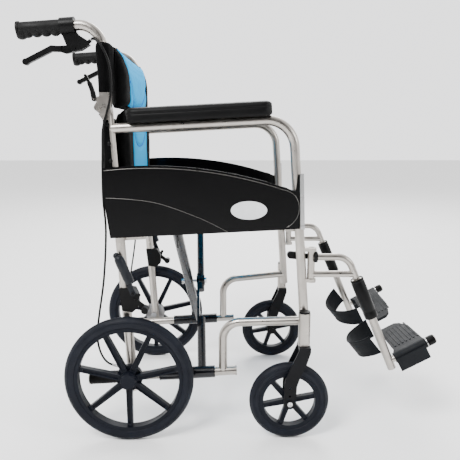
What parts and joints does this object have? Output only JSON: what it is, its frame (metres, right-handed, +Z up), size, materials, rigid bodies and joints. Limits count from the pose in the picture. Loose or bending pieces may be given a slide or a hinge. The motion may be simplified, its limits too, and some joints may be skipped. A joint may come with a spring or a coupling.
{
  "type": "transport wheelchair",
  "caption": "Folding attendant-pushed wheelchair with a cross brace, drop-back push handles with hand brakes, swing-away footrests, casters and drum-braked rear wheels.",
  "frame": {"origin": "centre of the footprint on the ground, half way along and across the chair", "axes": "+X forward, the way the sitter faces; +Y to the sitter's left; +Z up"},
  "size_m": [0.9568, 0.549, 0.9709],
  "materials": {
    "frame_metal": "satin",
    "strip_metal": "satin",
    "gloss_black": "gloss",
    "pad_foam": "satin",
    "grip_rubber": "matte",
    "black_plastic": "satin",
    "cable_black": "satin",
    "tyre_rubber": "matte",
    "wheel_plastic": "satin",
    "brake_steel": "satin",
    "lever_grey": "matte",
    "fork_plastic": "satin",
    "plate_plastic": "matte",
    "strap_fabric": "woven",
    "brace_paint": "gloss",
    "bolt_steel": "satin",
    "seat_fabric": "woven",
    "back_mesh": "mesh"
  },
  "bodies": {
    "frame_right": {"right_rear_upright": "frame_metal", "right_front_frame": "frame_metal", "right_lower_tube": "frame_metal", "right_hoop_tube": "frame_metal", "right_side_guard": "gloss_black", "right_guard_strip": "strip_metal", "right_arm_pad": "pad_foam", "right_drum_brake": "brake_steel", "right_parking_clamp": "black_plastic", "back_lower": "back_mesh"},
    "back_right": {"right_back_cane": "frame_metal", "right_hand_grip": "grip_rubber", "right_brake_clamp": "black_plastic", "right_brake_cable": "cable_black", "back_upper": "back_mesh"},
    "hand_lever_right": {"right_brake_lever": "black_plastic"},
    "latch_right": {"right_back_latch": "black_plastic"},
    "wheel_right": {"right_rear_tyre": "tyre_rubber", "right_rear_wheel": "wheel_plastic"},
    "parking_lever_right": {"right_parking_lever": "lever_grey"},
    "parking_shoe_right": {"right_parking_shoe": "black_plastic"},
    "caster_fork_right": {"right_caster_fork": "fork_plastic"},
    "caster_wheel_right": {"right_caster_tyre": "tyre_rubber", "right_caster_wheel": "wheel_plastic"},
    "hanger_right": {"right_hanger_tube": "frame_metal", "right_footrest_tube": "frame_metal", "right_heel_loop": "strap_fabric"},
    "lock_right": {"right_hanger_lock": "black_plastic"},
    "plate_right": {"right_footplate": "plate_plastic"},
    "frame_left": {"left_rear_upright": "frame_metal", "left_front_frame": "frame_metal", "left_lower_tube": "frame_metal", "left_hoop_tube": "frame_metal", "left_side_guard": "gloss_black", "left_guard_strip": "strip_metal", "left_arm_pad": "pad_foam", "left_drum_brake": "brake_steel", "left_parking_clamp": "black_plastic"},
    "back_left": {"left_back_cane": "frame_metal", "left_hand_grip": "grip_rubber", "left_brake_clamp": "black_plastic", "left_brake_cable": "cable_black"},
    "hand_lever_left": {"left_brake_lever": "black_plastic"},
    "latch_left": {"left_back_latch": "black_plastic"},
    "wheel_left": {"left_rear_tyre": "tyre_rubber", "left_rear_wheel": "wheel_plastic"},
    "parking_lever_left": {"left_parking_lever": "lever_grey"},
    "parking_shoe_left": {"left_parking_shoe": "black_plastic"},
    "caster_fork_left": {"left_caster_fork": "fork_plastic"},
    "caster_wheel_left": {"left_caster_tyre": "tyre_rubber", "left_caster_wheel": "wheel_plastic"},
    "hanger_left": {"left_hanger_tube": "frame_metal", "left_footrest_tube": "frame_metal", "left_heel_loop": "strap_fabric"},
    "lock_left": {"left_hanger_lock": "black_plastic"},
    "plate_left": {"left_footplate": "plate_plastic"},
    "brace_front": {"brace_a": "brace_paint", "cross_bolt": "bolt_steel", "seat_sling": "seat_fabric"},
    "brace_rear": {"brace_b": "brace_paint"}
  },
  "joints": [
    {"name": "fold", "type": "hinge", "parent": "frame_right", "child": "brace_front", "pos_m": [-0.12238, -0.2, 0.14241], "axis": [0.9986, 0, 0.0523], "range_deg": [0, 33], "deforming": ["seat_sling", "back_upper", "back_lower"]},
    {"name": "cross", "type": "hinge", "parent": "brace_front", "child": "brace_rear", "pos_m": [-0.11577, 0, 0.322], "axis": [0.9986, 0, 0.0523], "range_deg": [-66, 0]},
    {"name": "left_fold", "type": "hinge", "parent": "brace_rear", "child": "frame_left", "pos_m": [-0.12238, 0.2, 0.14241], "axis": [0.9986, 0, 0.0523], "range_deg": [0, 33]},
    {"name": "back_fold", "type": "hinge", "parent": "frame_right", "child": "back_right", "pos_m": [-0.3112, -0.224, 0.779], "axis": [0, 1, 0], "range_deg": [-110, 0], "deforming": ["right_brake_cable"]},
    {"name": "right_hand_brake", "type": "hinge", "parent": "back_right", "child": "hand_lever_right", "pos_m": [-0.3542, -0.224, 0.906], "axis": [0, 1, 0], "range_deg": [0, 12], "stiffness_Nm_per_rad": 0.6, "springref_deg": -17.19},
    {"name": "right_back_latch", "type": "hinge", "parent": "back_right", "child": "latch_right", "pos_m": [-0.3182, -0.224, 0.797], "axis": [0, 1, 0], "range_deg": [-35, 0], "stiffness_Nm_per_rad": 0.3, "springref_deg": 17.19},
    {"name": "right_rear_wheel", "type": "hinge", "parent": "frame_right", "child": "wheel_right", "pos_m": [-0.2562, -0.254, 0.1525], "axis": [0, 1, 0], "continuous": true},
    {"name": "right_parking_brake", "type": "hinge", "parent": "frame_right", "child": "parking_lever_right", "pos_m": [-0.2432, -0.238, 0.357], "axis": [0, 1, 0], "range_deg": [0, 50]},
    {"name": "right_brake_shoe", "type": "hinge", "parent": "frame_right", "child": "parking_shoe_right", "pos_m": [-0.2362, -0.242, 0.34], "axis": [0, 1, 0], "range_deg": [0, 40]},
    {"name": "right_caster_swivel", "type": "hinge", "parent": "frame_right", "child": "caster_fork_right", "pos_m": [0.1558, -0.2485, 0.27], "axis": [0, 0, 1], "continuous": true},
    {"name": "right_caster_wheel", "type": "hinge", "parent": "caster_fork_right", "child": "caster_wheel_right", "pos_m": [0.1228, -0.2485, 0.095], "axis": [0, 1, 0], "continuous": true},
    {"name": "right_hanger_swing", "type": "hinge", "parent": "frame_right", "child": "hanger_right", "pos_m": [0.1718, -0.224, 0.43], "axis": [0, 0, -1], "range_deg": [0, 90]},
    {"name": "right_hanger_lock", "type": "hinge", "parent": "hanger_right", "child": "lock_right", "pos_m": [0.1738, -0.205, 0.437], "axis": [0, 0, -1], "range_deg": [0, 25], "stiffness_Nm_per_rad": 0.3, "springref_deg": -17.19},
    {"name": "right_plate_flip", "type": "hinge", "parent": "hanger_right", "child": "plate_right", "pos_m": [0.3666, -0.224, 0.1815], "axis": [0.8829, 0, 0.4695], "range_deg": [0, 88.5], "deforming": ["right_heel_loop"]},
    {"name": "left_back_fold", "type": "hinge", "parent": "frame_left", "child": "back_left", "pos_m": [-0.3112, 0.224, 0.779], "axis": [0, 1, 0], "range_deg": [-110, 0], "deforming": ["left_brake_cable"]},
    {"name": "left_hand_brake", "type": "hinge", "parent": "back_left", "child": "hand_lever_left", "pos_m": [-0.3542, 0.224, 0.906], "axis": [0, 1, 0], "range_deg": [0, 12], "stiffness_Nm_per_rad": 0.6, "springref_deg": -17.19},
    {"name": "left_back_latch", "type": "hinge", "parent": "back_left", "child": "latch_left", "pos_m": [-0.3182, 0.224, 0.797], "axis": [0, 1, 0], "range_deg": [-35, 0], "stiffness_Nm_per_rad": 0.3, "springref_deg": 17.19},
    {"name": "left_rear_wheel", "type": "hinge", "parent": "frame_left", "child": "wheel_left", "pos_m": [-0.2562, 0.254, 0.1525], "axis": [0, 1, 0], "continuous": true},
    {"name": "left_parking_brake", "type": "hinge", "parent": "frame_left", "child": "parking_lever_left", "pos_m": [-0.2432, 0.238, 0.357], "axis": [0, 1, 0], "range_deg": [0, 50]},
    {"name": "left_brake_shoe", "type": "hinge", "parent": "frame_left", "child": "parking_shoe_left", "pos_m": [-0.2362, 0.242, 0.34], "axis": [0, 1, 0], "range_deg": [0, 40]},
    {"name": "left_caster_swivel", "type": "hinge", "parent": "frame_left", "child": "caster_fork_left", "pos_m": [0.1558, 0.2485, 0.27], "axis": [0, 0, 1], "continuous": true},
    {"name": "left_caster_wheel", "type": "hinge", "parent": "caster_fork_left", "child": "caster_wheel_left", "pos_m": [0.1228, 0.2485, 0.095], "axis": [0, 1, 0], "continuous": true},
    {"name": "left_hanger_swing", "type": "hinge", "parent": "frame_left", "child": "hanger_left", "pos_m": [0.1718, 0.224, 0.43], "axis": [0, 0, 1], "range_deg": [0, 90]},
    {"name": "left_hanger_lock", "type": "hinge", "parent": "hanger_left", "child": "lock_left", "pos_m": [0.1738, 0.205, 0.437], "axis": [0, 0, 1], "range_deg": [0, 25], "stiffness_Nm_per_rad": 0.3, "springref_deg": -17.19},
    {"name": "left_plate_flip", "type": "hinge", "parent": "hanger_left", "child": "plate_left", "pos_m": [0.3666, 0.224, 0.1815], "axis": [-0.8829, 0, -0.4695], "range_deg": [0, 88.5], "deforming": ["left_heel_loop"]}
  ],
  "couplings": [
    {"joint": "cross", "follows": "fold", "ratio": -2},
    {"joint": "left_fold", "follows": "fold", "ratio": 1},
    {"joint": "left_back_fold", "follows": "back_fold", "ratio": 1},
    {"joint": "right_brake_shoe", "follows": "right_parking_brake", "ratio": 0.8},
    {"joint": "right_plate_flip", "follows": "fold", "ratio": 2.6667},
    {"joint": "left_brake_shoe", "follows": "left_parking_brake", "ratio": 0.8},
    {"joint": "left_plate_flip", "follows": "fold", "ratio": 2.6667}
  ]
}
